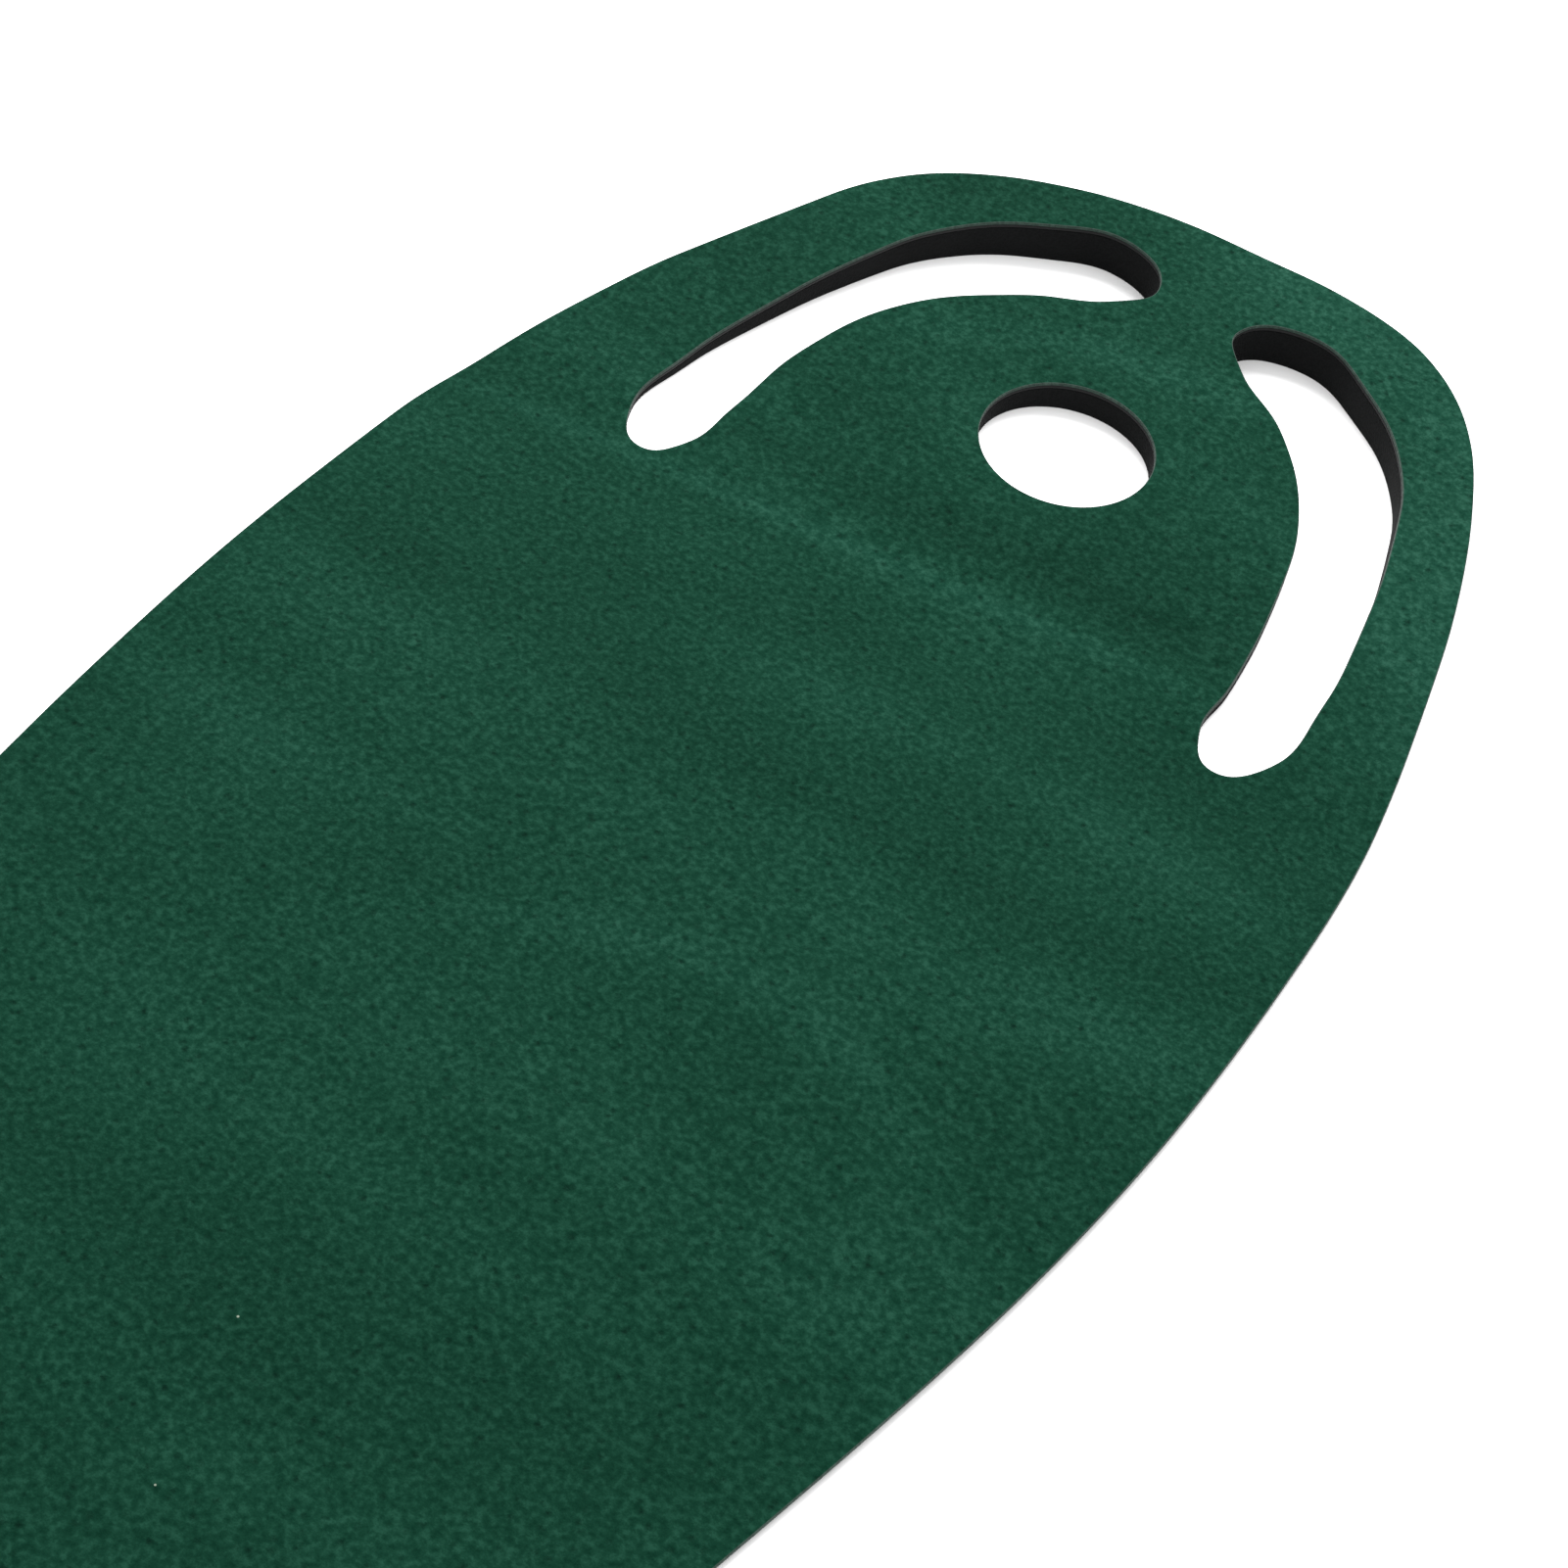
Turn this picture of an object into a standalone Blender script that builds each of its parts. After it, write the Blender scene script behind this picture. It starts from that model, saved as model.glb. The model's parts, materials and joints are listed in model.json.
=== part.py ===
"""A roll-up practice putting mat: felt turf on a rubber backing, with a foam ramp under the cup end.

The mat lies on the floor at z = 0. +Y runs from the player's end to the crest of the cup end, +X is to
the right of a player who faces the cup, and the origin is on the floor under the middle of the mat.
The flexible sheet is cut across into strips, each of which folds up about the turf's face at its joint
with the one before, so that the mat rolls up from the player's end, turf inwards, as far as the ramp.
All sizes are in metres.
"""

import math

import bmesh
import bpy

# The sheet from above
LENGTH = 2.743
HEAD_WIDTH = 0.625
NECK_WIDTH = 0.472
TAIL_WIDTH = 0.560
TAIL_ARC = 0.420
RIGHT = 1
LEFT = -1
# Where each side is widest, down from the crest
WIDEST_TO_CREST = {RIGHT: 0.640, LEFT: 0.542}
HEAD_EXPONENTS = (1.95, 3.65)
TAIL_EXPONENTS = (2.0, 2.5)
# The outline of the cup end, from the right over the crest to the left: shares of the head's half width
# across, and of the cup end's length down from the crest
HEAD_KNOTS = (
    (0.980, 0.875),
    (0.959, 0.763),
    (0.924, 0.652),
    (0.880, 0.541),
    (0.833, 0.429),
    (0.773, 0.318),
    (0.710, 0.225),
    (0.638, 0.142),
    (0.550, 0.077),
    (0.445, 0.032),
    (0.333, 0.009),
    (0.186, 0.000),
    (0.035, 0.005),
    (-0.118, 0.011),
    (-0.246, 0.025),
    (-0.368, 0.048),
    (-0.510, 0.090),
    (-0.634, 0.149),
    (-0.723, 0.225),
    (-0.783, 0.318),
    (-0.837, 0.411),
    (-0.890, 0.504),
    (-0.928, 0.596),
    (-0.960, 0.689),
    (-0.982, 0.782),
    (-1.000, 0.884),
)

# The cup and the two slots that catch missed balls
CUP_RADIUS = 0.054
CUP_X = 0.003
CUP_TO_CREST = 0.242
# A slot's outline: shares of the head's half width across, and of the cup's distance from the crest along
SLOT_KNOTS = (
    (0.628, -0.721),
    (0.702, -0.632),
    (0.710, -0.372),
    (0.676, -0.083),
    (0.619, 0.223),
    (0.534, 0.496),
    (0.378, 0.702),
    (0.212, 0.791),
    (0.096, 0.678),
    (0.147, 0.558),
    (0.301, 0.413),
    None,
    None,
    (0.556, -0.455),
    (0.569, -0.640),
)
# The two knots of the edge nearest the cup, where the slots differ
SLOT_INNER_KNOTS = {
    RIGHT: ((0.443, 0.165), (0.520, -0.165)),
    LEFT: ((0.470, 0.165), (0.548, -0.165)),
}
SLOT_SPREAD = {RIGHT: 1.015, LEFT: 0.985}

# The layers
TURF_THICKNESS = 0.0019
BACKING_THICKNESS = 0.0018
BACKING_INSET = 0.001
LAYER_GAP = 0.0003

# The foam ramp
RAMP_LENGTH = 0.409
RAMP_HEIGHT = 0.028
RAMP_LIP = 0.001
RAMP_INSET = 0.014
RAMP_APPROACH = 0.020

# The strips that the roll is made of
STRIP_COUNT = 24
STRIP_GAP = 0.0003
FOLD_TO_RAMP = 0.130

# How finely the curves are drawn
HEAD_STEPS = 3
STRIP_ROWS = 3
TAIL_ROWS = 12
CUP_SIDES = 56
SLOT_RESOLUTION = 5
CUTTER_OVERRUN = 0.02
WELD_DISTANCE = 1e-6

CREST_Y = LENGTH / 2
TAIL_Y = -LENGTH / 2
CUP_Y = CREST_Y - CUP_TO_CREST
RAMP_FOOT_Y = CREST_Y - RAMP_LENGTH
FIRST_FOLD_Y = RAMP_FOOT_Y - FOLD_TO_RAMP
STRIP_LENGTH = (FIRST_FOLD_Y - TAIL_Y) / STRIP_COUNT
TURF_UNDERSIDE_Z = BACKING_THICKNESS + LAYER_GAP
TURF_FACE_Z = TURF_UNDERSIDE_Z + TURF_THICKNESS


def clear_scene():
    for scene_object in list(bpy.data.objects):
        bpy.data.objects.remove(scene_object)


def new_collection(name):
    collection = bpy.data.collections.new(name)
    bpy.context.scene.collection.children.link(collection)
    return collection


def new_material(name, colour, roughness):
    material = bpy.data.materials.new(name)
    material.use_nodes = True
    shader = material.node_tree.nodes["Principled BSDF"]
    shader.inputs["Base Color"].default_value = (*colour, 1)
    shader.inputs["Roughness"].default_value = roughness
    shader.inputs["Metallic"].default_value = 0
    return material


# Outlines


def rounded(share, rise, spread):
    """Half width of a rounded end, as a share of its widest, at a share of the way to its tip."""
    return max(1 - min(share, 1) ** rise, 0) ** (1 / spread)


def ease(share):
    return 0.5 - 0.5 * math.cos(math.pi * share)


def half_width(y, side, inset):
    """Distance from the centre line to the sheet's edge at y, trimmed back by the inset."""
    arc_length = WIDEST_TO_CREST[side]
    head_y = CREST_Y - arc_length
    tail_y = TAIL_Y + TAIL_ARC
    neck_y = (CREST_Y + TAIL_Y) / 2
    head = HEAD_WIDTH / 2 - inset
    neck = NECK_WIDTH / 2 - inset
    tail = TAIL_WIDTH / 2 - inset
    if y > head_y:
        return head * rounded((y - head_y) / (arc_length - inset), *HEAD_EXPONENTS)
    if y > neck_y:
        return neck + (head - neck) * ease((y - neck_y) / (head_y - neck_y))
    if y > tail_y:
        return neck + (tail - neck) * ease((neck_y - y) / (neck_y - tail_y))
    return tail * rounded((tail_y - y) / (TAIL_ARC - inset), *TAIL_EXPONENTS)


def even_rows(low, high, count):
    return [low + (high - low) * row / count for row in range(count + 1)]


def closing_rows(start, tip, count):
    """Rows from start to the tip of a rounded end, closer together towards the tip."""
    return [start + (tip - start) * math.sin(math.pi / 2 * row / count) for row in range(count + 1)]


def sheet_outline(rows, inset):
    """The closed outline of the sheet across some rows, up the right side and down the left."""
    right = [(half_width(y, RIGHT, inset), y) for y in rows]
    left = [(-half_width(y, LEFT, inset), y) for y in rows]
    points = right + left[::-1]
    following = points[1:] + points[:1]
    return [point for point, after in zip(points, following) if math.dist(point, after) > WELD_DISTANCE]


def head_outline(inset):
    """The closed outline of the cup end: a smooth line through its knots, then straight across."""
    start_y = FIRST_FOLD_Y + STRIP_GAP / 2
    across = HEAD_WIDTH / 2 - inset
    tip_y = CREST_Y - inset
    knots = [(across * x, tip_y + (FIRST_FOLD_Y - tip_y) * y) for x, y in HEAD_KNOTS]
    knots.insert(0, (half_width(start_y, RIGHT, inset), start_y))
    knots.append((-half_width(start_y, LEFT, inset), start_y))
    return smooth_line(knots, HEAD_STEPS)


def smooth_line(knots, steps):
    """Points of a smooth line through the knots, with some steps between each two."""
    first = [2 * a - b for a, b in zip(knots[0], knots[1])]
    last = [2 * a - b for a, b in zip(knots[-1], knots[-2])]
    run = [first, *knots, last]
    points = []
    for before, start, end, after in zip(run, run[1:], run[2:], run[3:]):
        for step in range(steps):
            points.append(tuple(between(*along, step / steps) for along in zip(before, start, end, after)))
    return points + [knots[-1]]


def between(before, start, end, after, share):
    """A value part of the way from start to end, on a smooth run through all four."""
    slope = (end - before) / 2
    turn = before - 2.5 * start + 2 * end - after / 2
    twist = (after - before) / 2 + 1.5 * (start - end)
    return start + share * (slope + share * (turn + share * twist))


def cup_outline():
    turns = [2 * math.pi * side / CUP_SIDES for side in range(CUP_SIDES)]
    return [(CUP_X + CUP_RADIUS * math.cos(turn), CUP_Y + CUP_RADIUS * math.sin(turn)) for turn in turns]


def slot_knots(side):
    across = side * SLOT_SPREAD[side] * HEAD_WIDTH / 2
    inner = iter(SLOT_INNER_KNOTS[side])
    knots = [knot or next(inner) for knot in SLOT_KNOTS]
    return [(CUP_X + across * x, CUP_Y + CUP_TO_CREST * y) for x, y in knots]


# Solids


def add_loop(curve, points):
    loop = curve.splines.new("POLY")
    loop.points.add(len(points) - 1)
    for vertex, (x, y) in zip(loop.points, points):
        vertex.co = (x, y, 0, 1)
    loop.use_cyclic_u = True


def add_smooth_loop(curve, knots):
    loop = curve.splines.new("BEZIER")
    loop.bezier_points.add(len(knots) - 1)
    for knot, (x, y) in zip(loop.bezier_points, knots):
        knot.co = (x, y, 0)
        knot.handle_left_type = "AUTO"
        knot.handle_right_type = "AUTO"
    loop.resolution_u = SLOT_RESOLUTION
    loop.use_cyclic_u = True


def outline_curve(name, thickness):
    curve = bpy.data.curves.new(name, "CURVE")
    curve.dimensions = "2D"
    curve.fill_mode = "BOTH"
    curve.extrude = thickness / 2
    return curve


def solid_from_curve(curve, collection, location, rotation=(0, 0, 0)):
    """Turn an extruded outline into a closed mesh object, and remove the curve."""
    drawn = bpy.data.objects.new(curve.name + "_outline", curve)
    bpy.context.scene.collection.objects.link(drawn)
    drawn.location = location
    drawn.rotation_euler = rotation
    bpy.context.view_layer.update()
    evaluated = drawn.evaluated_get(bpy.context.evaluated_depsgraph_get())
    mesh = bpy.data.meshes.new_from_object(evaluated)
    weld(mesh)
    solid = bpy.data.objects.new(curve.name, mesh)
    solid.matrix_world = drawn.matrix_world
    collection.objects.link(solid)
    bpy.data.objects.remove(drawn)
    bpy.data.curves.remove(curve)
    return solid


def weld(mesh):
    caps = bmesh.new()
    caps.from_mesh(mesh)
    bmesh.ops.remove_doubles(caps, verts=caps.verts, dist=WELD_DISTANCE)
    bmesh.ops.recalc_face_normals(caps, faces=caps.faces)
    caps.to_mesh(mesh)
    caps.free()


def add_planform(name, inset):
    """A tall plug with the cup end's outline, cup and slots, which cuts the layers to shape."""
    depth = RAMP_HEIGHT + TURF_FACE_Z + 2 * CUTTER_OVERRUN
    curve = outline_curve(name, depth)
    add_loop(curve, head_outline(inset))
    add_loop(curve, cup_outline())
    add_smooth_loop(curve, slot_knots(RIGHT))
    add_smooth_loop(curve, slot_knots(LEFT))
    plug = solid_from_curve(curve, cutters, (0, 0, depth / 2 - CUTTER_OVERRUN))
    plug.hide_render = True
    plug.display_type = "WIRE"
    return plug


def add_cut_layer(name, profile, planform, material):
    """A layer of the cup end: its side profile right across the mat, cut to the planform."""
    curve = outline_curve(name, HEAD_WIDTH + 2 * CUTTER_OVERRUN)
    add_loop(curve, profile)
    layer = solid_from_curve(curve, parts, (0, 0, 0), (math.pi / 2, 0, math.pi / 2))
    cut = layer.modifiers.new("planform", "BOOLEAN")
    cut.operation = "INTERSECT"
    cut.object = planform
    layer.data.materials.append(material)
    return layer


def sheet_profile(underside, thickness):
    """Side view of a flexible layer as (y, z): flat, then up onto the ramp and along it."""
    start_y = FIRST_FOLD_Y - CUTTER_OVERRUN
    end_y = CREST_Y + CUTTER_OVERRUN
    on_ramp_z = underside + LAYER_GAP
    lower = [
        (start_y, underside),
        (RAMP_FOOT_Y - RAMP_APPROACH, underside),
        (RAMP_FOOT_Y, on_ramp_z + ramp_height(RAMP_FOOT_Y)),
        (end_y, on_ramp_z + ramp_height(end_y)),
    ]
    upper = [(y, z + thickness) for y, z in lower]
    return lower + upper[::-1]


def ramp_height(y):
    return RAMP_LIP + (RAMP_HEIGHT - RAMP_LIP) * (y - RAMP_FOOT_Y) / RAMP_LENGTH


def ramp_profile():
    end_y = CREST_Y + CUTTER_OVERRUN
    return [(RAMP_FOOT_Y, 0), (end_y, 0), (end_y, ramp_height(end_y)), (RAMP_FOOT_Y, RAMP_LIP)]


def add_fold(number, y, parent):
    """The axis that a strip folds about: the turf's face, in the middle of the gap before the strip."""
    fold = bpy.data.objects.new(f"fold_{number:02d}", None)
    parts.objects.link(fold)
    fold.parent = parent
    fold.location = (0, y, TURF_FACE_Z) if parent is None else (0, -STRIP_LENGTH, 0)
    fold.empty_display_size = STRIP_LENGTH / 4
    return fold


def add_strip_layer(name, number, fold, underside, thickness, inset, material):
    near_y = FIRST_FOLD_Y - STRIP_LENGTH * (number - 1)
    start_y = near_y - STRIP_GAP / 2
    if number == STRIP_COUNT:
        rows = closing_rows(start_y, TAIL_Y + inset, TAIL_ROWS)
    else:
        rows = even_rows(start_y, near_y - STRIP_LENGTH + STRIP_GAP / 2, STRIP_ROWS)
    curve = outline_curve(name, thickness)
    outline = sheet_outline(rows, inset)
    add_loop(curve, [(x, y - near_y) for x, y in outline])
    strip = solid_from_curve(curve, parts, (0, 0, 0))
    strip.parent = fold
    strip.location = (0, 0, underside + thickness / 2 - TURF_FACE_Z)
    strip.data.materials.append(material)
    return strip


clear_scene()
parts = new_collection("putting_mat")
cutters = new_collection("cutters")

turf_green = new_material("turf_green", (0.012, 0.063, 0.038), 0.95)
rubber_black = new_material("rubber_black", (0.014, 0.014, 0.015), 0.75)
foam_black = new_material("foam_black", (0.010, 0.010, 0.011), 0.9)

turf_planform = add_planform("turf_planform", 0)
backing_planform = add_planform("backing_planform", BACKING_INSET)
ramp_planform = add_planform("ramp_planform", RAMP_INSET)

add_cut_layer("foam_ramp", ramp_profile(), ramp_planform, foam_black)
add_cut_layer("backing_cup_end", sheet_profile(0, BACKING_THICKNESS), backing_planform, rubber_black)
add_cut_layer("turf_cup_end", sheet_profile(TURF_UNDERSIDE_Z, TURF_THICKNESS), turf_planform, turf_green)

previous_fold = None
for strip_number in range(1, STRIP_COUNT + 1):
    strip_fold = add_fold(strip_number, FIRST_FOLD_Y, previous_fold)
    add_strip_layer(
        f"turf_strip_{strip_number:02d}",
        strip_number,
        strip_fold,
        TURF_UNDERSIDE_Z,
        TURF_THICKNESS,
        0,
        turf_green,
    )
    add_strip_layer(
        f"backing_strip_{strip_number:02d}",
        strip_number,
        strip_fold,
        0,
        BACKING_THICKNESS,
        BACKING_INSET,
        rubber_black,
    )
    previous_fold = strip_fold
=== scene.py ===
import json
import math

import bmesh
import bpy
import numpy as np
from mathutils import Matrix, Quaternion, Vector, noise


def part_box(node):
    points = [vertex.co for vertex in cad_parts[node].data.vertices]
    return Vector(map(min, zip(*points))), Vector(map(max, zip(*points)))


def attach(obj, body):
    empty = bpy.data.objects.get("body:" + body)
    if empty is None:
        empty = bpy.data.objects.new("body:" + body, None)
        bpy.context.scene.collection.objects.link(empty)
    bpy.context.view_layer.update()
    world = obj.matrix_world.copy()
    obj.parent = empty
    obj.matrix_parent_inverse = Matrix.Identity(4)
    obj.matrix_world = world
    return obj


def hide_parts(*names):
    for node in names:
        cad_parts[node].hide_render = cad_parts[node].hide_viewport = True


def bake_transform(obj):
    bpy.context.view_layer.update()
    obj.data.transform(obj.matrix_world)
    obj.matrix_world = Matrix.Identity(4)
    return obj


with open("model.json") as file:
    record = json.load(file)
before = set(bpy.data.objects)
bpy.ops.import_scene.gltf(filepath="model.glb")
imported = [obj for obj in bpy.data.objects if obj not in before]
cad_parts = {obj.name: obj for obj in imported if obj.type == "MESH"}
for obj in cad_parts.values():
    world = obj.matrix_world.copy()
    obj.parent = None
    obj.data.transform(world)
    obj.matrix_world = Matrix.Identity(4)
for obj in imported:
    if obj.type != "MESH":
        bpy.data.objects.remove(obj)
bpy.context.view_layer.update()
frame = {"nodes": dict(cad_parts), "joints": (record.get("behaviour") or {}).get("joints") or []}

# The felt turf
#
# Needle-punched polyester felt, about 2 mm thick, dyed dark green and cut out with the cup and the two
# slots in one blank. It is glued all over to the rubber below. Here it is made as one blank and then
# divided into lengths, one across each fold.

FOLDS = [joint["pos_m"][1] for joint in frame["joints"]]
STRIP = FOLDS[0] - FOLDS[1]
FOOT_OF_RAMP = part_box("foam_ramp")[0].y
RAMP_LIP = 0.001
LAYER_GAP = 0.0003
RAMP_SLOPE = (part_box("foam_ramp")[1].z - RAMP_LIP) / (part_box("foam_ramp")[1].y - FOOT_OF_RAMP)
FLAT_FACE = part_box("turf_strip_01")[1].z
FELT_THICKNESS = FLAT_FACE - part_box("turf_strip_01")[0].z
FOOT_TO_CUP = 0.167
CUP_CENTRE_X = 0.003
CUP_CENTRE_Y = FOOT_OF_RAMP + FOOT_TO_CUP

# Every layer's mesh has the same rows across the mat and columns along it, which reach past its rim
ROWS_PER_STRIP = 10
STRIPS_OF_ROWS = 30
LAST_ROW = 1.4
COLUMN = 0.010
LAST_COLUMN = 0.32

# Strips that meet at a fold, and points that stand for the same corner, are joined within these
STRIP_JOIN = 0.0012
POINT_JOIN = 0.0002


def layer_nodes(layer):
    """Names of the CAD nodes that make up the turf or the backing, from the cup to the player."""
    return [f"{layer}_cup_end"] + [f"{layer}_strip_{n:02d}" for n in range(1, len(FOLDS) + 1)]


def cut_blank(nodes, trim):
    """One flat mesh in plan for a layer of the mat, from the faces of its CAD nodes, trimmed back all
    round by the width of its rounded edge and divided into the rows and columns."""
    blank = bmesh.new()
    for name in nodes:
        blank.from_mesh(frame["nodes"][name].data)
    sides = [face for face in blank.faces if face.normal.z < 0.5]
    bmesh.ops.delete(blank, geom=sides, context="FACES")
    at_folds = []
    for vertex in blank.verts:
        vertex.co.z = 0
        nearest = min(FOLDS, key=lambda y: abs(y - vertex.co.y))
        if abs(nearest - vertex.co.y) < 2 * POINT_JOIN:
            vertex.co.y = nearest
            at_folds.append(vertex)
    bmesh.ops.remove_doubles(blank, verts=at_folds, dist=STRIP_JOIN)
    bmesh.ops.remove_doubles(blank, verts=blank.verts, dist=POINT_JOIN)
    bmesh.ops.dissolve_limit(blank, angle_limit=0.01, verts=blank.verts, edges=blank.edges)
    for _ in range(2):
        smooth_rim(blank)
    for vertex, away in rim_normals(blank).items():
        vertex.co -= trim * away
    first_row = FOLDS[0] + STRIP / 2 - STRIP * STRIPS_OF_ROWS
    rows = np.arange(first_row, LAST_ROW, STRIP / ROWS_PER_STRIP)
    columns = np.arange(-LAST_COLUMN, LAST_COLUMN + COLUMN / 10, COLUMN)
    for normal, places in ((Vector((0, 1, 0)), rows), (Vector((1, 0, 0)), columns)):
        for place in places:
            bmesh.ops.bisect_plane(
                blank,
                geom=blank.verts[:] + blank.edges[:] + blank.faces[:],
                dist=1e-5,
                plane_co=normal * place,
                plane_no=normal,
            )
    bmesh.ops.remove_doubles(blank, verts=blank.verts, dist=1e-5)
    for face in blank.faces:
        face.normal_update()
        if face.normal.z < 0:
            face.normal_flip()
    return blank


def rim_edges(blank):
    """Each edge of the rim, as (edge, its start, its end, its direction), with the sheet on its left."""
    run = []
    for edge in blank.edges:
        if len(edge.link_faces) == 1:
            loop = edge.link_loops[0]
            start, end = loop.vert, loop.link_loop_next.vert
            if loop.face.normal.z < 0:
                start, end = end, start
            run.append((edge, start, end, (end.co - start.co).normalized()))
    return run


# Rim edges shorter than this stay whole, and a turn whose cosine is smaller counts as a corner
SHORT_EDGE = 0.0025
SHARP_CORNER = 0.82


def smooth_rim(blank):
    """Halves the longer edges of the rim and moves each new vertex out to the curve that the knife cut,
    leaving sharp corners alone."""
    run = rim_edges(blank)
    leaving = {start: along for _, start, _, along in run}
    arriving = {end: along for _, _, end, along in run}
    middles = []
    for edge, start, end, along in run:
        length = edge.calc_length()
        if length < SHORT_EDGE:
            continue
        tangents = []
        for other in (arriving[start], leaving[end]):
            tangents.append((along + other).normalized() if along.dot(other) > SHARP_CORNER else along)
        middles.append((edge, start, (start.co + end.co) / 2 + (tangents[0] - tangents[1]) * length / 8))
    for edge, start, middle in middles:
        bmesh.utils.edge_split(edge, start, 0.5)[1].co = middle


def rim_normals(blank):
    """Direction away from the sheet at each vertex of its rim, stretched at corners so that a rim moved
    along it keeps its distance."""
    sums = {}
    for _, start, end, along in rim_edges(blank):
        for vertex in (start, end):
            sums.setdefault(vertex, []).append(Vector((along.y, -along.x, 0)))
    outward = {}
    for vertex, sides in sums.items():
        middle = sum(sides, Vector()).normalized()
        outward[vertex] = middle / max(middle.dot(sides[0]), 0.5)
    return outward


WAVE_HEIGHT = 0.0022
SWELL_HEIGHT = 0.0012


def ripple(x, y):
    """How far the mat stands off a flat floor: low waves left by its time in a roll, which die out where
    the ramp takes over."""
    fade = 1 / (1 + math.exp((y - FOOT_OF_RAMP + 0.060) / 0.018))
    wave = 0.5 + 0.5 * noise.noise(Vector((1.6 * x + 3.1, 6.5 * y + 0.35 * x, 0.7)))
    swell = 0.5 + 0.5 * noise.noise(Vector((2.3 * x, 2.1 * y, 4.2)))
    return fade * (WAVE_HEIGHT * wave * wave + SWELL_HEIGHT * swell * swell)


def face_height(x, y):
    """Height of the turf's face: flat, then eased up onto the ramp and straight along it."""
    reach = 0.006
    turn = FOOT_OF_RAMP - (RAMP_LIP + LAYER_GAP) / RAMP_SLOPE
    climb = y - turn
    if climb < 0.2:
        climb = reach * math.log1p(math.exp(climb / reach))
    return FLAT_FACE + RAMP_SLOPE * climb + ripple(x, y)


def nap(x, y):
    """Set of the felt's fibres with painted light on top, from 0 (dark, laid flat or in painted shade) to 1
    (pale, raised or in painted light): random patches, painted shading bands across the mat where light
    would catch the waves that the roll left, a painted bright band at the lip of the ramp, a painted sheen
    over the right side and far end of the cup end, and painted shade on its left and towards the player's
    end."""
    x, along = x - CUP_CENTRE_X, y - CUP_CENTRE_Y
    broad = noise.noise(Vector((2.4 * x, 9 * y, 1.3)))
    small = noise.noise(Vector((8 * x, 17 * y, 8.8)))
    value = 0.5 + 0.20 * broad + 0.24 * small

    def rise(distance, reach):
        return 1 / (1 + math.exp(-min(max(distance / reach, -40), 40)))

    # Painted shading bands, and a painted highlight at the lip of the ramp. Each band: its place on the
    # middle line, tilt, bend and half width, its two ends, and how pale it is
    for place, tilt, bend, width, left, right, amount in (
        (-0.153, 0.157, 0.0, 0.0085, -0.33, 0.16, 0.44),
        (-0.107, 0.10, 0.0, 0.020, -0.19, 0.17, -0.30),
        (-0.045, 0.10, 0.0, 0.032, -0.24, -0.07, -0.22),
        (0.095, 0.30, -1.5, 0.016, -0.14, 0.11, 0.30),
        (-0.272, 0.08, 0.0, 0.020, -0.12, 0.31, 0.16),
        (-0.347, 0.02, 0.25, 0.019, -0.02, 0.30, -0.28),
        (-0.345, 0.0, 0.0, 0.026, -0.30, -0.19, -0.28),
        (-0.385, 0.0, 0.0, 0.020, 0.19, 0.32, 0.22),
        (-0.507, 0.52, -2.6, 0.016, -0.08, 0.24, 0.26),
        (-0.485, 0.12, 0.0, 0.018, -0.31, 0.00, 0.18),
        (-0.600, 0.0, 0.0, 0.060, -0.15, 0.25, 0.14),
    ):
        middle = place + tilt * x + bend * x * x
        across = rise(x - left, 0.018) * rise(right - x, 0.018)
        value += amount * across * math.exp(-(((along - middle) / width) ** 2))
    # Painted sheen: paler over the right side and the far end of the cup end.
    painted_sheen_area = rise(x + 0.35 * along - 0.195, 0.012) * rise(along + 0.08, 0.05)
    value += 0.58 * max(painted_sheen_area, rise(along - 0.17, 0.02) * rise(x + 0.04, 0.03))
    # Painted shade: darker on the left beyond the cup, and towards the player's end.
    value -= 0.08 * rise(-0.12 - x, 0.03) * rise(along - 0.02, 0.03)
    value -= 0.10 * rise(-0.74 - along, 0.07)
    return min(max(value, 0), 1)


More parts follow.
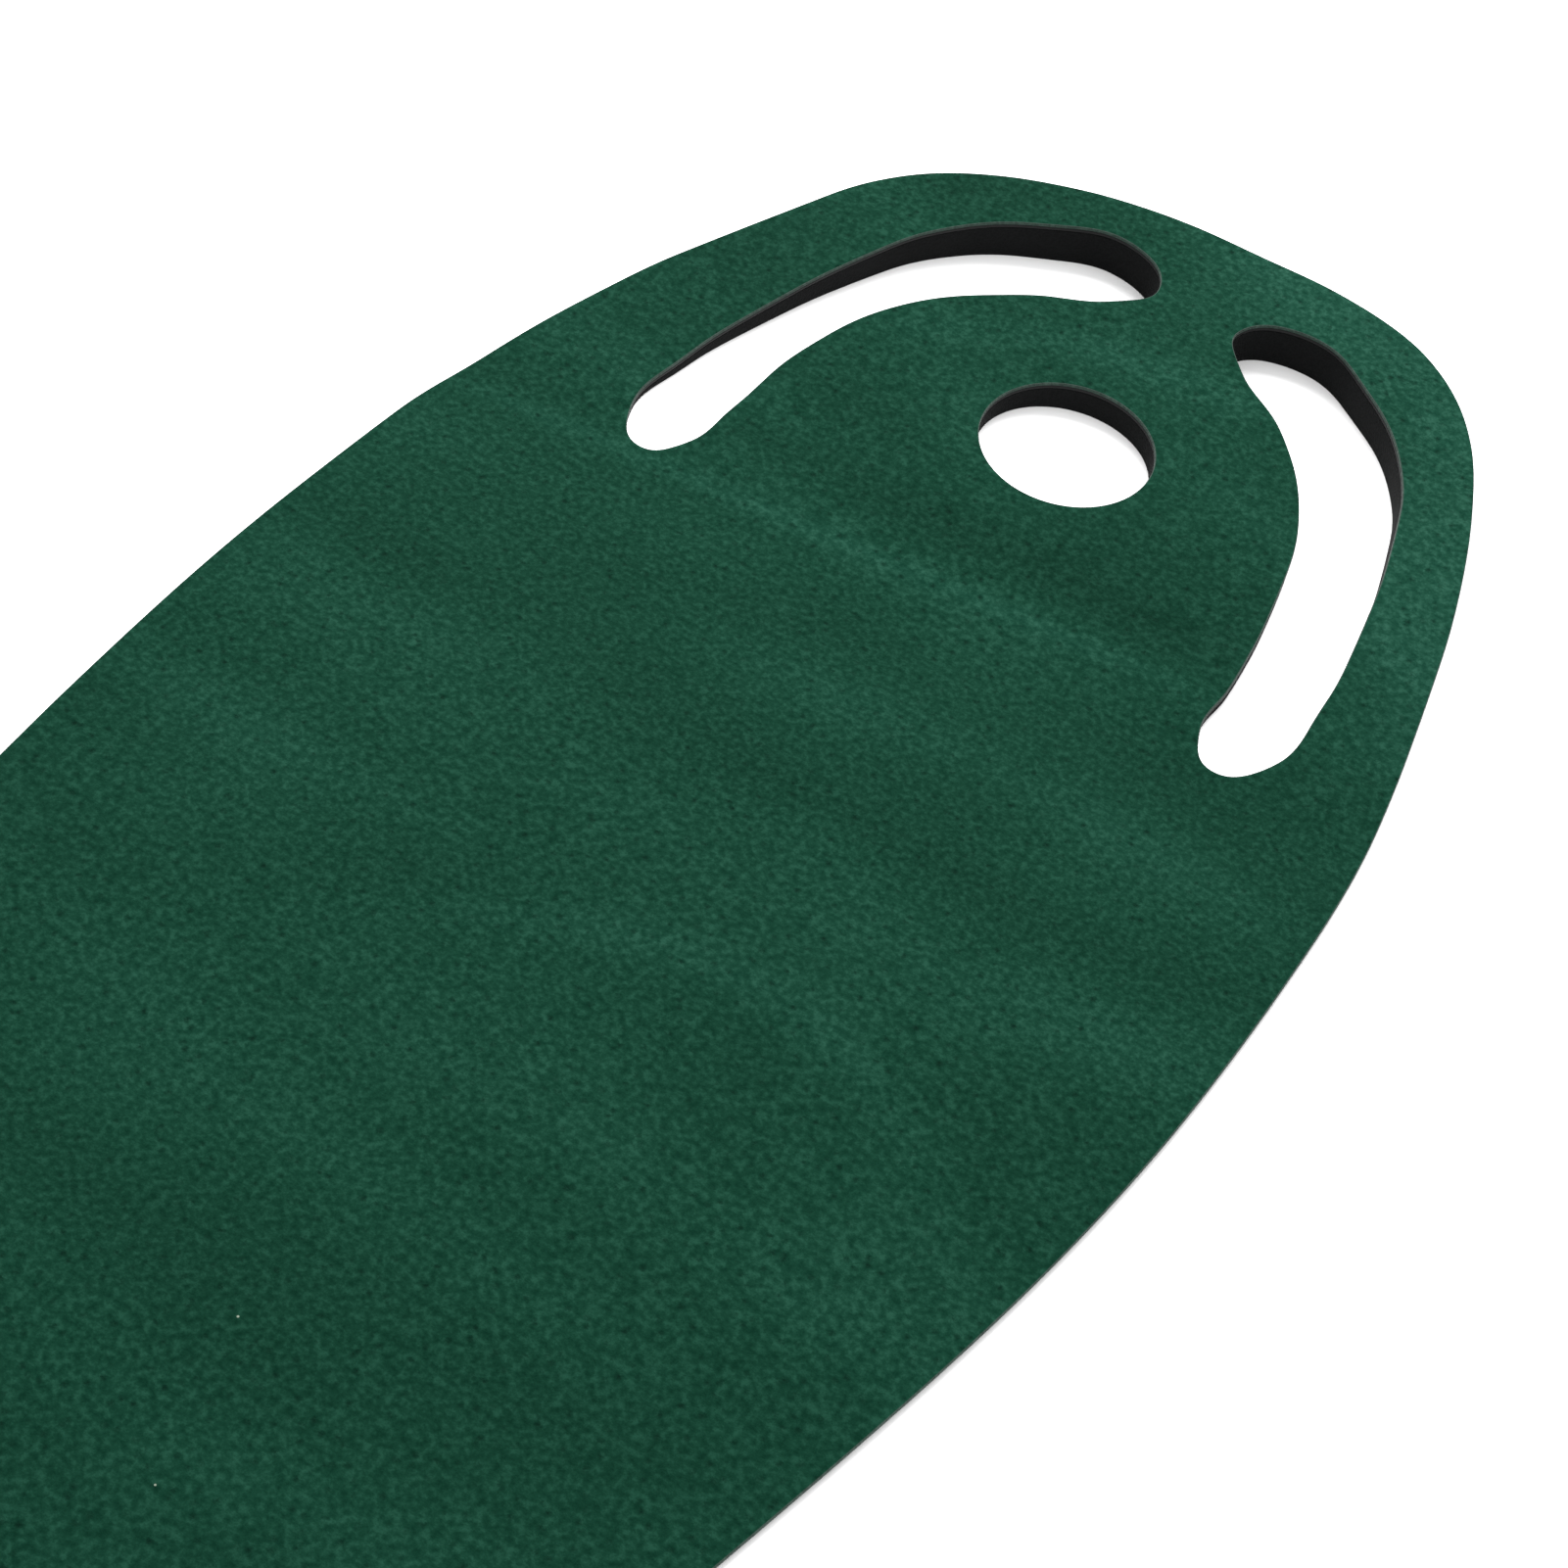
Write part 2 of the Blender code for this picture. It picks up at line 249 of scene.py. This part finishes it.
def layer_length(name, blank, height, edge, low_y, high_y, materials):
    """The part of a layer between two lines across the mat, as a closed piece. The edge lists how the
    rim runs from its upper face to its lower, as (outward, down), where down may vary over the layer. The
    materials are those of the upper face, the rim and the underside."""
    outward = rim_normals(blank)
    chosen = [face for face in blank.faces if low_y < face.calc_center_median().y < high_y]
    inside = set(chosen)
    piece = bmesh.new()
    # Per vertex: the set of the fibres together with painted shading bands, painted sheen and painted shade.
    nap_and_light_value = piece.verts.layers.float.new("nap")
    laid = piece.verts.layers.float_vector.new("laid")
    thickness = edge[-1][1]

    def place(vertex, down, out=Vector()):
        x, y = vertex.co.x, vertex.co.y
        fall = down(x, y) if callable(down) else down
        made = piece.verts.new((x + out.x, y + out.y, height(x, y) - fall))
        made[nap_and_light_value] = nap(x, y)
        made[laid] = made.co
        return made

    top, bottom, rings = {}, {}, {}
    for face in chosen:
        for vertex in face.verts:
            if vertex in top:
                continue
            top[vertex] = place(vertex, 0)
            bottom[vertex] = place(vertex, thickness)
            if vertex in outward:
                rings[vertex] = [place(vertex, down, out * outward[vertex]) for out, down in edge]

    def add(corners, material, smooth=True):
        made = piece.faces.new(corners)
        made.material_index = material
        made.smooth = smooth
        return made

    cap_ends = set()
    for face in chosen:
        add([top[v] for v in face.verts], 0)
        add([bottom[v] for v in reversed(face.verts)], 2)
        for loop in face.loops:
            start, end = loop.vert, loop.link_loop_next.vert
            others = [f for f in loop.edge.link_faces if f is not face]
            if not others:
                first, second = [top[start]] + rings[start], [top[end]] + rings[end]
                for step in range(len(first) - 1):
                    add([second[step], first[step], first[step + 1], second[step + 1]], 1)
                under = add([second[-1], first[-1], bottom[start], bottom[end]], 2)
                for rim_edge in under.edges:
                    if set(rim_edge.verts) == {second[-1], first[-1]}:
                        rim_edge.smooth = False
            elif others[0] not in inside:
                cap = add([top[end], top[start], bottom[start], bottom[end]], 1, False)
                for cap_edge in cap.edges:
                    cap_edge.smooth = False
                cap_ends.update(v for v in (start, end) if v in rings)
    for vertex in cap_ends:
        cap = add([top[vertex]] + rings[vertex] + [bottom[vertex]], 1, False)
        for cap_edge in cap.edges:
            cap_edge.smooth = False
    bmesh.ops.recalc_face_normals(piece, faces=piece.faces)
    mesh = bpy.data.meshes.new(name)
    piece.to_mesh(mesh)
    piece.free()
    for material in materials:
        mesh.materials.append(material)
    made = bpy.data.objects.new(name, mesh)
    bpy.context.scene.collection.objects.link(made)
    return made


def plan_size(blank, low_y, high_y):
    """Width, length and area of the part of a blank between two lines across the mat."""
    faces = [face for face in blank.faces if low_y < face.calc_center_median().y < high_y]
    xs = [v.co.x for face in faces for v in face.verts]
    ys = [v.co.y for face in faces for v in face.verts]
    return max(xs) - min(xs), max(ys) - min(ys), sum(face.calc_area() for face in faces)


def new_group(name, inputs, outputs):
    """An empty shader node group, with its sockets and their defaults."""
    group = bpy.data.node_groups.new(name, "ShaderNodeTree")
    for label, default in inputs.items():
        socket = group.interface.new_socket(label, in_out="INPUT", socket_type="NodeSocketFloat")
        socket.default_value = default
    for label, kind in outputs.items():
        group.interface.new_socket(label, in_out="OUTPUT", socket_type=f"NodeSocket{kind}")
    return group, group.nodes.new("NodeGroupInput"), group.nodes.new("NodeGroupOutput")


def add_node(tree, kind, values=None, **settings):
    """A shader node with the values of its inputs and its own settings."""
    node = tree.nodes.new(f"ShaderNode{kind}")
    for key, value in settings.items():
        setattr(node, key, value)
    for key, value in (values or {}).items():
        node.inputs[key].default_value = value
    return node


def math_node(tree, operation, first, second):
    """A Math node fed by sockets or by plain numbers."""
    node = add_node(tree, "Math", operation=operation)
    for place, value in enumerate((first, second)):
        if isinstance(value, (int, float)):
            node.inputs[place].default_value = value
        else:
            tree.links.new(value, node.inputs[place])
    return node.outputs[0]


def stretched(tree, source, gain, offset):
    """A value multiplied and shifted, then held between 0 and 1."""
    node = add_node(tree, "Math", {1: gain, 2: offset}, operation="MULTIPLY_ADD", use_clamp=True)
    tree.links.new(source, node.inputs[0])
    return node.outputs[0]


def ramp_node(tree, source, stops):
    """A colour ramp from (place, colour) stops, or (place, value) for a plain mask."""
    node = add_node(tree, "ValToRGB")
    while len(node.color_ramp.elements) < len(stops):
        node.color_ramp.elements.new(0.5)
    for element, (place, colour) in zip(node.color_ramp.elements, stops):
        element.position = place
        element.color = (*colour, 1) if hasattr(colour, "__len__") else (colour, colour, colour, 1)
    tree.links.new(source, node.inputs["Fac"])
    return node.outputs["Color"]


def mix_colours(tree, share, first, second, blend="MIX"):
    """Two colours, each a socket or plain, mixed or blended by a share."""
    node = add_node(tree, "Mix", data_type="RGBA", blend_type=blend)
    for socket, value in ((node.inputs[0], share), (node.inputs[6], first), (node.inputs[7], second)):
        if isinstance(value, (int, float)):
            socket.default_value = value
        elif isinstance(value, tuple):
            socket.default_value = (*value, 1)
        else:
            tree.links.new(value, socket)
    return node.outputs[2]


def noise_node(tree, place, scale, detail, roughness):
    node = add_node(tree, "TexNoise", {"Detail": detail, "Roughness": roughness})
    tree.links.new(place, node.inputs["Vector"])
    if isinstance(scale, (int, float)):
        node.inputs["Scale"].default_value = scale
    else:
        tree.links.new(scale, node.inputs["Scale"])
    return node.outputs["Fac"]


def matted_fibre():
    """Needled fibre: tufts a few millimetres across with pits between them, whose mask also carries their
    painted shade, finer fibre on top, and now and then a pale speck of lint."""
    group, given, made = new_group(
        "matted_fibre",
        {"Tufts per Metre": 300.0},
        {"Tuft": "Float", "Pit": "Float", "Lint": "Float", "Height": "Float"},
    )
    fibres_per_metre, patches_per_metre, pits_per_metre, specks_per_metre = 1150.0, 95.0, 120.0, 34.0
    place = add_node(group, "Attribute", attribute_name="laid").outputs["Vector"]
    tufts = noise_node(group, place, given.outputs["Tufts per Metre"], 2.5, 0.62)
    fine = noise_node(group, place, fibres_per_metre, 2.0, 0.6)
    patches = noise_node(group, place, patches_per_metre, 2.0, 0.5)
    body = math_node(group, "MULTIPLY", tufts, 0.72)
    body = math_node(group, "ADD", body, math_node(group, "MULTIPLY", fine, 0.18))
    body = math_node(group, "ADD", body, math_node(group, "MULTIPLY", patches, 0.10))
    tuft = stretched(group, body, 3.4, -1.2)

    holes = add_node(group, "TexVoronoi", {"Scale": pits_per_metre, "Randomness": 1.0}, feature="F1")
    group.links.new(place, holes.inputs["Vector"])
    # Pits between the tufts: a depth for the bump, and the mask for their painted shade.
    pit_and_shade = stretched(group, holes.outputs["Distance"], -3.2, 1.0)
    pit_and_shade = math_node(group, "MULTIPLY", pit_and_shade, math_node(group, "SUBTRACT", 1.0, tuft))

    specks = add_node(group, "TexVoronoi", {"Scale": specks_per_metre, "Randomness": 1.0}, feature="F1")
    group.links.new(place, specks.inputs["Vector"])
    chosen = add_node(group, "SeparateColor")
    group.links.new(specks.outputs["Color"], chosen.inputs[0])
    rare = math_node(group, "GREATER_THAN", chosen.outputs[0], 0.985)
    tiny = math_node(group, "LESS_THAN", specks.outputs["Distance"], 0.022)

    height = math_node(group, "SUBTRACT", body, math_node(group, "MULTIPLY", pit_and_shade, 0.35))
    group.links.new(tuft, made.inputs["Tuft"])
    group.links.new(pit_and_shade, made.inputs["Pit"])
    group.links.new(math_node(group, "MULTIPLY", rare, tiny), made.inputs["Lint"])
    group.links.new(height, made.inputs["Height"])
    return group


MATTED_FIBRE = matted_fibre()


def new_material(name, **sockets):
    material = bpy.data.materials.new(name)
    material.use_nodes = True
    shader = material.node_tree.nodes["Principled BSDF"]
    for key, value in sockets.items():
        shader.inputs[key.replace("_", " ")].default_value = value
    return material, material.node_tree, shader


def add_bump(tree, shader, height, distance, strength):
    bump = add_node(tree, "Bump", {"Distance": distance, "Strength": strength})
    tree.links.new(height, bump.inputs["Height"])
    tree.links.new(bump.outputs["Normal"], shader.inputs["Normal"])


def felt_face():
    """Dark green felt: paler on the tufts, whose pale tone is greyer as a painted sheen; darker or paler
    with the set of its fibres and the painted shading bands, sheen and shade laid on it; painted shade,
    nearly black, in the pits.
    """
    material, tree, shader = new_material(
        "felt_face", Roughness=0.95, Sheen_Weight=0.012, Sheen_Roughness=0.4, Specular_IOR_Level=0.03
    )
    shader.inputs["Sheen Tint"].default_value = (0.62, 0.85, 0.76, 1)
    fibre = add_node(tree, "Group", node_tree=MATTED_FIBRE)
    fibre.inputs["Tufts per Metre"].default_value = 235.0
    # The felt's own mottled tone; its pale stop is greyer, a painted sheen on the raised tufts.
    pile_tone_and_sheen = ramp_node(
        tree,
        fibre.outputs["Tuft"],
        [(0.0, (0.0022, 0.0228, 0.0128)), (0.50, (0.0050, 0.0345, 0.0200)), (1.0, (0.0119, 0.0553, 0.0344))],
    )
    nap_and_light_value = add_node(tree, "Attribute", attribute_name="nap")
    # Tint from the fibres' set and the painted light on it: dark where laid flat or in painted shade, paler
    # and whiter where raised or in painted sheen.
    nap_and_light_tint = ramp_node(
        tree,
        nap_and_light_value.outputs["Fac"],
        [(0.0, (0.34, 0.49, 0.46)), (0.5, (0.56, 0.68, 0.66)), (1.0, (1.0, 0.94, 0.98))],
    )
    colour = mix_colours(tree, 1.0, pile_tone_and_sheen, nap_and_light_tint, "MULTIPLY")
    # Painted shade: the pits go nearly black.
    colour = mix_colours(tree, fibre.outputs["Pit"], colour, (0.0006, 0.0075, 0.0042))
    colour = mix_colours(tree, fibre.outputs["Lint"], colour, (0.16, 0.19, 0.15))
    tree.links.new(colour, shader.inputs["Base Color"])
    rough = ramp_node(tree, fibre.outputs["Tuft"], [(0.0, 1.0), (1.0, 0.86)])
    tree.links.new(rough, shader.inputs["Roughness"])
    add_bump(tree, shader, fibre.outputs["Height"], 0.0016, 0.55)
    return material


def felt_cut_edge():
    """The cut side of the felt, where the ends of the fibres show paler and greyer than the face."""
    material, tree, shader = new_material(
        "felt_cut_edge", Roughness=0.95, Sheen_Weight=0.05, Sheen_Roughness=0.4
    )
    fibre = add_node(tree, "Group", node_tree=MATTED_FIBRE)
    fibre.inputs["Tufts per Metre"].default_value = 520.0
    colour = ramp_node(
        tree,
        fibre.outputs["Tuft"],
        [(0.0, (0.004, 0.013, 0.009)), (0.5, (0.010, 0.025, 0.018)), (1.0, (0.021, 0.042, 0.032))],
    )
    tree.links.new(colour, shader.inputs["Base Color"])
    add_bump(tree, shader, fibre.outputs["Height"], 0.0010, 0.6)
    return material


FELT_ROUND = 0.0006
felt_blank = cut_blank(layer_nodes("turf"), FELT_ROUND)
FELT_EDGE = [
    (0.45 * FELT_ROUND, 0.10 * FELT_ROUND),
    (0.80 * FELT_ROUND, 0.40 * FELT_ROUND),
    (1.00 * FELT_ROUND, FELT_ROUND),
    (1.00 * FELT_ROUND, FELT_THICKNESS),
]
felt_cut = felt_cut_edge()
felt_materials = [felt_face(), felt_cut, felt_cut]


# A distance past either end of the mat
MAT_REACH = 2.0


def across_folds(layer, title, blank, height, edge, materials):
    """Makes a layer in lengths, each from the middle of one strip to the middle of the next, one across each
    fold, and hides the CAD nodes that each length stands for."""
    for number, fold_y in enumerate(FOLDS, start=1):
        first, last = number == 1, number == len(FOLDS)
        high_y = MAT_REACH if first else fold_y + STRIP / 2
        low_y = -MAT_REACH if last else fold_y - STRIP / 2
        length = layer_length(f"{title}_fold_{number:02d}", blank, height, edge, low_y, high_y, materials)
        stands_for = [f"{layer}_strip_{number:02d}"] + ([f"{layer}_cup_end"] if first else [])
        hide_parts(*stands_for)
        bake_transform(length)
        width, run, area = plan_size(blank, low_y, high_y)


across_folds("turf", "felt", felt_blank, face_height, FELT_EDGE, felt_materials)

# The rubber backing
#
# A thin black rubber sheet, cut 1 mm inside the felt and glued to its underside. It makes the mat lie
# flat and stops it from sliding: its own underside is moulded all over with small raised lozenges.

RUBBER_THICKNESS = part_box("backing_strip_01")[1].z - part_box("backing_strip_01")[0].z
RUBBER_BELOW_FACE = FLAT_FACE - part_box("backing_strip_01")[1].z
RUBBER_ROUND = 0.0003


def rubber_height(x, y):
    """Height of the rubber's upper face, under the turf."""
    return face_height(x, y) - RUBBER_BELOW_FACE


def worn_grain():
    """Fine mottled grain and dusty patches of black rubber and foam."""
    group, given, made = new_group(
        "worn_grain", {"Grains per Metre": 900.0, "Dust": 0.5}, {"Grain": "Float", "Dust": "Float"}
    )
    place = add_node(group, "Attribute", attribute_name="laid").outputs["Vector"]
    grain = noise_node(group, place, given.outputs["Grains per Metre"], 3.0, 0.6)
    cloud = noise_node(group, place, 21.0, 4.0, 0.62)
    dust = math_node(group, "MULTIPLY", stretched(group, cloud, 3.0, -1.15), given.outputs["Dust"])
    group.links.new(grain, made.inputs["Grain"])
    group.links.new(dust, made.inputs["Dust"])
    return group


WORN_GRAIN = worn_grain()


def rubber(name, moulded):
    """Black rubber, a little paler where dust clings. The underside carries its moulded lozenges."""
    material, tree, shader = new_material(name, Roughness=0.7, Specular_IOR_Level=0.18)
    worn = add_node(tree, "Group", node_tree=WORN_GRAIN)
    worn.inputs["Grains per Metre"].default_value = 1100.0
    worn.inputs["Dust"].default_value = 0.6 if moulded else 0.25
    black = ramp_node(
        tree,
        worn.outputs["Grain"],
        [(0.25, (0.0018, 0.0020, 0.0021)), (0.75, (0.0039, 0.0042, 0.0043))],
    )
    colour = mix_colours(tree, worn.outputs["Dust"], black, (0.011, 0.0115, 0.0115))
    tree.links.new(colour, shader.inputs["Base Color"])
    rough = ramp_node(tree, worn.outputs["Dust"], [(0.0, 0.62), (1.0, 0.88)])
    tree.links.new(rough, shader.inputs["Roughness"])
    height = worn.outputs["Grain"]
    if moulded:
        place = add_node(tree, "Attribute", attribute_name="laid").outputs["Vector"]
        turned = add_node(tree, "Mapping", {"Rotation": (0, 0, math.radians(45))})
        tree.links.new(place, turned.inputs["Vector"])
        ribs = []
        for direction in ("X", "Y"):
            wave = add_node(tree, "TexWave", {"Scale": 52.0}, wave_type="BANDS", bands_direction=direction)
            tree.links.new(turned.outputs["Vector"], wave.inputs["Vector"])
            ribs.append(wave.outputs["Fac"])
        lozenge = math_node(tree, "MULTIPLY", math_node(tree, "MULTIPLY", *ribs), 1.6)
        height = math_node(tree, "ADD", lozenge, math_node(tree, "MULTIPLY", height, 0.15))
    add_bump(tree, shader, height, 0.0005, 0.9 if moulded else 0.35)
    return material


rubber_plain = rubber("rubber_plain", False)
rubber_materials = [rubber_plain, rubber_plain, rubber("rubber_underside", True)]
RUBBER_EDGE = [
    (0.70 * RUBBER_ROUND, 0.30 * RUBBER_ROUND),
    (1.00 * RUBBER_ROUND, RUBBER_ROUND),
    (1.00 * RUBBER_ROUND, RUBBER_THICKNESS - RUBBER_ROUND),
    (0.70 * RUBBER_ROUND, RUBBER_THICKNESS),
]
rubber_blank = cut_blank(layer_nodes("backing"), RUBBER_ROUND)
across_folds(
    "backing", "rubber", rubber_blank, rubber_height, RUBBER_EDGE, rubber_materials
)

# The foam ramp
#
# A wedge of black closed-cell foam, glued under the cup end and cut through with the cup and the slots.
# It lifts the mat from a thin lip at its foot to its full height at the crest.

FOAM_ROUND = 0.0007


def foam_height(x, y):
    """Height of the foam's upper face, which is also its depth, because its underside lies on the floor."""
    return face_height(x, y) - RUBBER_BELOW_FACE - RUBBER_THICKNESS - LAYER_GAP


def foam_wall_depth(x, y):
    """How far below its upper face the foam's straight wall ends, above its lower rounded edge."""
    return foam_height(x, y) - FOAM_ROUND


def foam_skin():
    """Cut closed-cell foam: a matt black face, open here and there where the knife went through a cell."""
    material, tree, shader = new_material("foam_skin", Roughness=0.9, Specular_IOR_Level=0.10)
    worn = add_node(tree, "Group", node_tree=WORN_GRAIN)
    worn.inputs["Grains per Metre"].default_value = 700.0
    worn.inputs["Dust"].default_value = 0.2
    place = add_node(tree, "Attribute", attribute_name="laid").outputs["Vector"]
    cells = add_node(tree, "TexVoronoi", {"Scale": 620.0, "Randomness": 1.0}, feature="F1")
    tree.links.new(place, cells.inputs["Vector"])
    wall = ramp_node(
        tree,
        cells.outputs["Distance"],
        [(0.0, (0.0008, 0.0010, 0.0010)), (0.7, (0.0029, 0.0032, 0.0033))],
    )
    grey = mix_colours(tree, worn.outputs["Dust"], wall, (0.0058, 0.0062, 0.0063))
    tree.links.new(grey, shader.inputs["Base Color"])
    rough = ramp_node(tree, worn.outputs["Grain"], [(0.0, 0.82), (1.0, 1.0)])
    tree.links.new(rough, shader.inputs["Roughness"])
    height = math_node(tree, "ADD", cells.outputs["Distance"], worn.outputs["Grain"])
    add_bump(tree, shader, height, 0.0006, 0.5)
    return material


FOAM_EDGE = [
    (0.60 * FOAM_ROUND, 0.20 * FOAM_ROUND),
    (1.00 * FOAM_ROUND, FOAM_ROUND),
    (1.00 * FOAM_ROUND, foam_wall_depth),
    (0.60 * FOAM_ROUND, foam_height),
]
foam_blank = cut_blank(["foam_ramp"], FOAM_ROUND)
foam_material = foam_skin()
foam = layer_length(
    "foam_pad", foam_blank, foam_height, FOAM_EDGE, -MAT_REACH, MAT_REACH, [foam_material] * 3
)
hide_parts("foam_ramp")
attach(foam, "cup_end")

# The floor, the light and the camera
#
# A plain white floor under an even white sky, with a broad soft lamp high up beyond the cup end. The
# camera stands over the right of the mat and looks down at the cup, with the player's end out of view.

FLOOR_REACH = 30
FLOOR_BELOW = 0.0002
floor_corners = [(x * FLOOR_REACH, y * FLOOR_REACH, 0) for x, y in ((-1, -1), (1, -1), (1, 1), (-1, 1))]
floor_mesh = bpy.data.meshes.new("floor")
floor_mesh.from_pydata(floor_corners, [], [(0, 1, 2, 3)])
floor = bpy.data.objects.new("floor", floor_mesh)
floor.location.z = -FLOOR_BELOW
bpy.context.scene.collection.objects.link(floor)
floor_material, _, floor_shader = new_material("floor_white", Roughness=0.9, Specular_IOR_Level=0.1)
floor_shader.inputs["Base Color"].default_value = (0.92, 0.92, 0.92, 1)
floor_mesh.materials.append(floor_material)

sky = bpy.data.worlds.new("sky")
sky.use_nodes = True
sky.node_tree.nodes["Background"].inputs["Color"].default_value = (1, 1, 1, 1)
sky.node_tree.nodes["Background"].inputs["Strength"].default_value = 1.5
bpy.context.scene.world = sky

LAMP_PLACE = Vector((-0.9, 2.9, 2.6))
LAMP_AIM = Vector((0, 0.8, 0))
lamp_data = bpy.data.lights.new("broad_lamp", "AREA")
lamp_data.shape = "RECTANGLE"
lamp_data.size = 2.4
lamp_data.size_y = 1.6
lamp_data.energy = 195
lamp = bpy.data.objects.new("broad_lamp", lamp_data)
lamp.location = LAMP_PLACE
lamp.rotation_mode = "QUATERNION"
lamp.rotation_quaternion = (LAMP_AIM - LAMP_PLACE).to_track_quat("-Z", "Y")
bpy.context.scene.collection.objects.link(lamp)

CAMERA_PLACE = Vector((0.572967, -0.438172, 1.317736))
CAMERA_AIM = Vector((-0.290806, 0.650795, -0.701355))
CAMERA_ROLL = math.radians(13.3)
camera_data = bpy.data.cameras.new("camera")
camera_data.lens = 79.78
camera_data.sensor_width = 36
camera = bpy.data.objects.new("camera", camera_data)
camera.location = CAMERA_PLACE
camera.rotation_mode = "QUATERNION"
camera.rotation_quaternion = CAMERA_AIM.to_track_quat("-Z", "Y") @ Quaternion((0, 0, 1), CAMERA_ROLL)
bpy.context.scene.collection.objects.link(camera)
bpy.context.scene.camera = camera
bpy.context.scene.view_settings.view_transform = "Standard"
